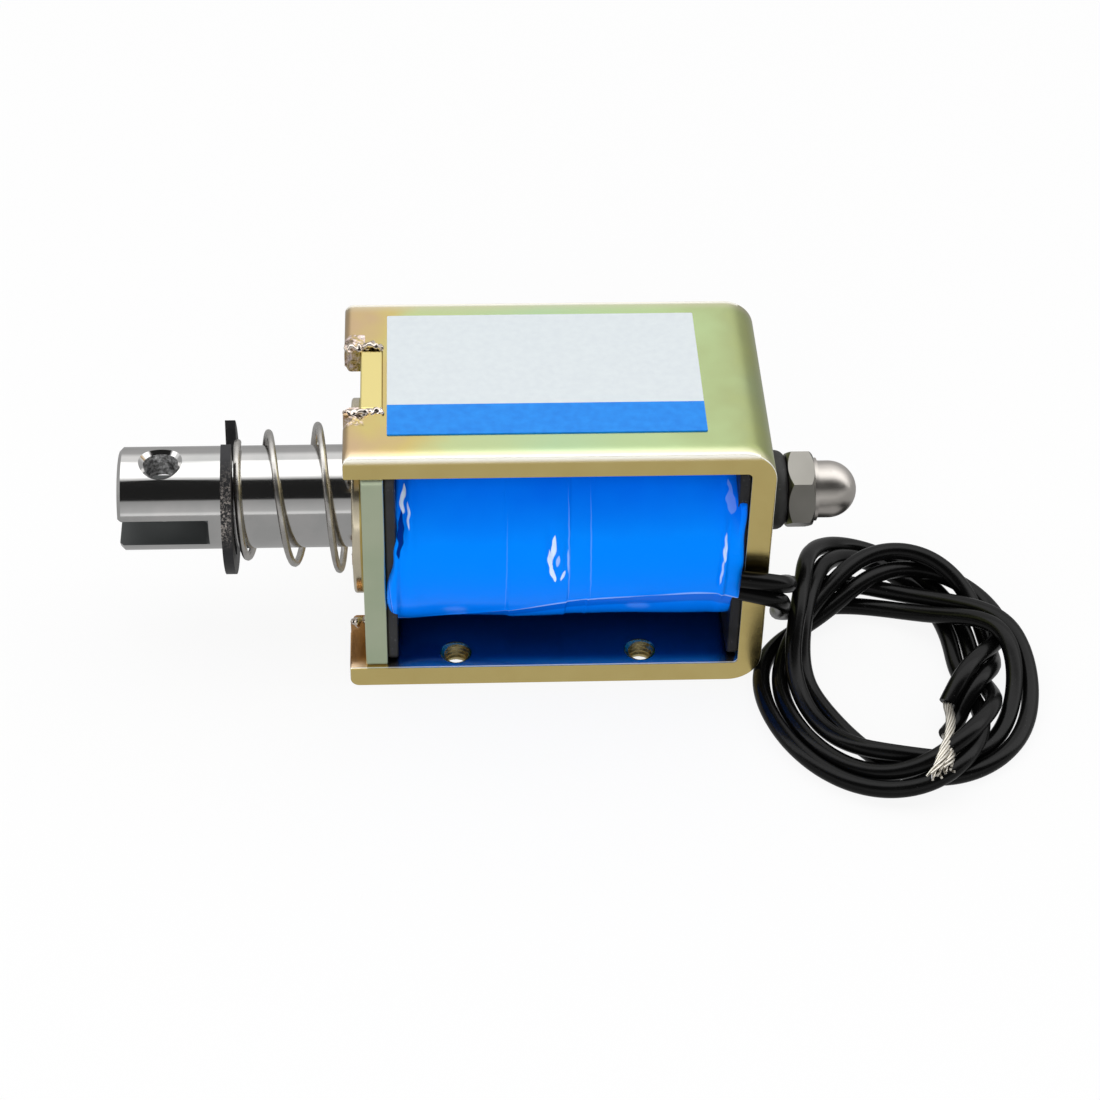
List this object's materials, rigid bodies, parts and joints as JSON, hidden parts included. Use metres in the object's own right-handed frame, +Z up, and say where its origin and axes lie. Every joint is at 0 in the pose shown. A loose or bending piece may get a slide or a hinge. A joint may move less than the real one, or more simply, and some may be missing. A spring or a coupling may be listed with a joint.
{
  "type": "push pull solenoid",
  "caption": "Open-frame push pull solenoid: spring-returned plunger with a clevis end and a domed push tip, wrapped coil in a bent steel frame, two loosely coiled leads.",
  "frame": {"origin": "centre of the four tapped holes, on the frame's bottom face", "axes": "+X along the plunger towards the domed push tip, +Y away from the side where the leads come out, +Z up through the coil"},
  "size_m": [0.0885, 0.0425, 0.0285],
  "materials": {
    "zinc_steel": "yellow zinc plating with a faint iridescent sheen",
    "zinc_plate": "yellow zinc plating, grey-green on the cut edges",
    "zinc_seat": "pale yellow zinc plating",
    "black_nylon": "moulded, matte",
    "copper_wire": "enamelled copper wire",
    "blue_tape": "glossy polyester tape with creases",
    "brass_sleeve": "drawn tube",
    "pole_steel": "turned, plated",
    "plated_steel": "turned and bright nickel plated",
    "stainless_rod": "ground",
    "black_spring_steel": "black oxide, worn at the punched edge",
    "spring_wire": "drawn wire, satin",
    "black_rubber": "smooth",
    "stainless_nut": "satin, turned",
    "label_film": "pale grey film with a plain blue band",
    "black_insulation": "smooth, half-gloss"
  },
  "bodies": {
    "frame": {"yoke_frame": "zinc_steel", "end_plate": "zinc_plate", "spring_seat": "zinc_seat", "bobbin": "black_nylon", "coil_winding": "copper_wire", "coil_tape": "blue_tape", "guide_sleeve": "brass_sleeve", "fixed_pole": "pole_steel", "label": "label_film", "return_spring": "spring_wire", "lead_1": "black_insulation", "lead_2": "black_insulation", "lead_coil": "black_insulation"},
    "clip": {"e_clip": "black_spring_steel"},
    "plunger": {"plunger": "plated_steel", "push_rod": "stainless_rod", "rubber_washer": "black_rubber", "cap_nut": "stainless_nut"}
  },
  "joints": [
    {"name": "plunger_slide", "type": "slide", "parent": "frame", "child": "clip", "axis": [1, 0, 0], "range_m": [0, 0.01], "stiffness_N_per_m": 500, "springref_m": -0.003, "deforming": ["return_spring"]},
    {"name": "plunger_spin", "type": "hinge", "parent": "clip", "child": "plunger", "pos_m": [0, 0, 0.0142], "axis": [1, 0, 0], "continuous": true}
  ]
}
